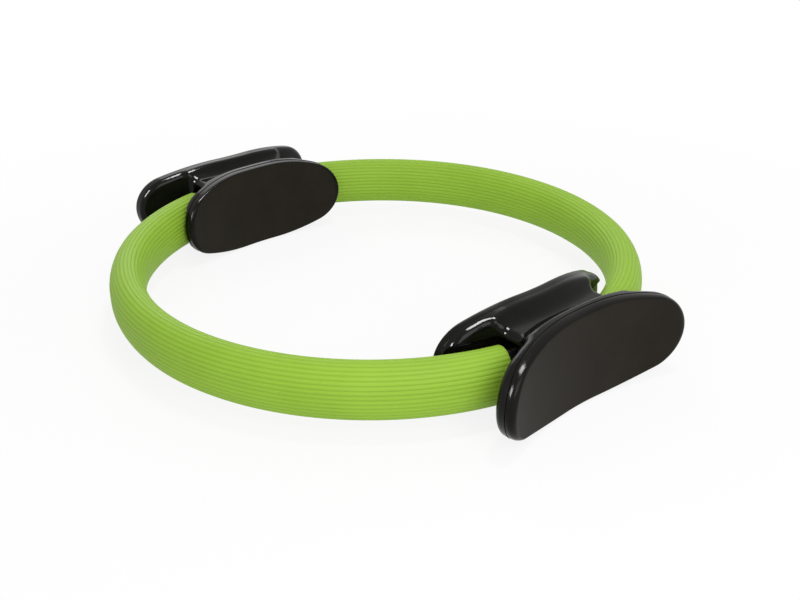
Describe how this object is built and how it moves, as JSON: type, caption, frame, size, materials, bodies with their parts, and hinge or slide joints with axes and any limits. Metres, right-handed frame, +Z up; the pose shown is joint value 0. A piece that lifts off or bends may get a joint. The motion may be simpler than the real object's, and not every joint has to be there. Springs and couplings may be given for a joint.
{
  "type": "pilates ring",
  "caption": "Springy ring in ribbed foam sleeves, with a padded saddle handle at the front and the rear, squeezed or pulled apart by hands, knees or ankles.",
  "frame": {"origin": "on the floor, under the middle of the ring as it lies flat on its handles", "axes": "+Z up, square to the ring; -Y through the front handle, +Y through the rear one; +X to the right"},
  "size_m": [0.38, 0.4206, 0.066],
  "materials": {
    "shell_plastic": "moulded, glossy black",
    "pad_rubber": "soft, matte warm black",
    "sleeve_foam": "ribbed closed-cell foam, satin lime green",
    "hoop_strip": "glass-fibre strip in black resin, satin",
    "fastener_steel": "zinc plated"
  },
  "bodies": {
    "front_handle": {"front_outer_shell": "shell_plastic", "front_inner_shell": "shell_plastic", "front_outer_pad": "pad_rubber", "front_inner_pad": "pad_rubber", "front_shell_screws": "fastener_steel", "hoop_left_end": "hoop_strip", "hoop_right_end": "hoop_strip", "splice_plate": "fastener_steel", "splice_rivets": "fastener_steel"},
    "left_front": {"left_front_sleeve": "sleeve_foam", "left_front_band": "hoop_strip"},
    "left_rear": {"left_rear_sleeve": "sleeve_foam", "left_rear_band": "hoop_strip"},
    "rear_handle": {"rear_outer_shell": "shell_plastic", "rear_inner_shell": "shell_plastic", "rear_outer_pad": "pad_rubber", "rear_inner_pad": "pad_rubber", "rear_shell_screws": "fastener_steel", "rear_hoop_run": "hoop_strip"},
    "right_front": {"right_front_sleeve": "sleeve_foam", "right_front_band": "hoop_strip"},
    "right_rear": {"right_rear_sleeve": "sleeve_foam", "right_rear_band": "hoop_strip"}
  },
  "joints": [
    {"name": "front_left_flex", "type": "hinge", "parent": "front_handle", "child": "left_front", "pos_m": [-0.0423, -0.17264, 0.033], "axis": [0, 0, 1], "range_deg": [-4, 14], "stiffness_Nm_per_rad": 20},
    {"name": "left_side_flex", "type": "hinge", "parent": "left_front", "child": "left_rear", "pos_m": [-0.17775, 0, 0.033], "axis": [0, 0, 1], "range_deg": [-28, 8], "stiffness_Nm_per_rad": 12, "deforming": ["left_front_sleeve", "left_front_band", "left_rear_sleeve", "left_rear_band"]},
    {"name": "rear_left_flex", "type": "hinge", "parent": "left_rear", "child": "rear_handle", "pos_m": [-0.0423, 0.17264, 0.033], "axis": [0, 0, 1], "range_deg": [-4, 14], "stiffness_Nm_per_rad": 20},
    {"name": "front_right_flex", "type": "hinge", "parent": "front_handle", "child": "right_front", "pos_m": [0.0423, -0.17264, 0.033], "axis": [0, 0, 1], "range_deg": [-14, 4], "stiffness_Nm_per_rad": 20},
    {"name": "right_side_flex", "type": "hinge", "parent": "right_front", "child": "right_rear", "pos_m": [0.17775, 0, 0.033], "axis": [0, 0, 1], "range_deg": [-8, 28], "stiffness_Nm_per_rad": 12, "deforming": ["right_front_sleeve", "right_front_band", "right_rear_sleeve", "right_rear_band"]}
  ],
  "couplings": [
    {"joint": "left_side_flex", "follows": "front_left_flex", "ratio": -2},
    {"joint": "rear_left_flex", "follows": "front_left_flex", "ratio": 1},
    {"joint": "front_right_flex", "follows": "front_left_flex", "ratio": -1},
    {"joint": "right_side_flex", "follows": "front_left_flex", "ratio": 2}
  ]
}
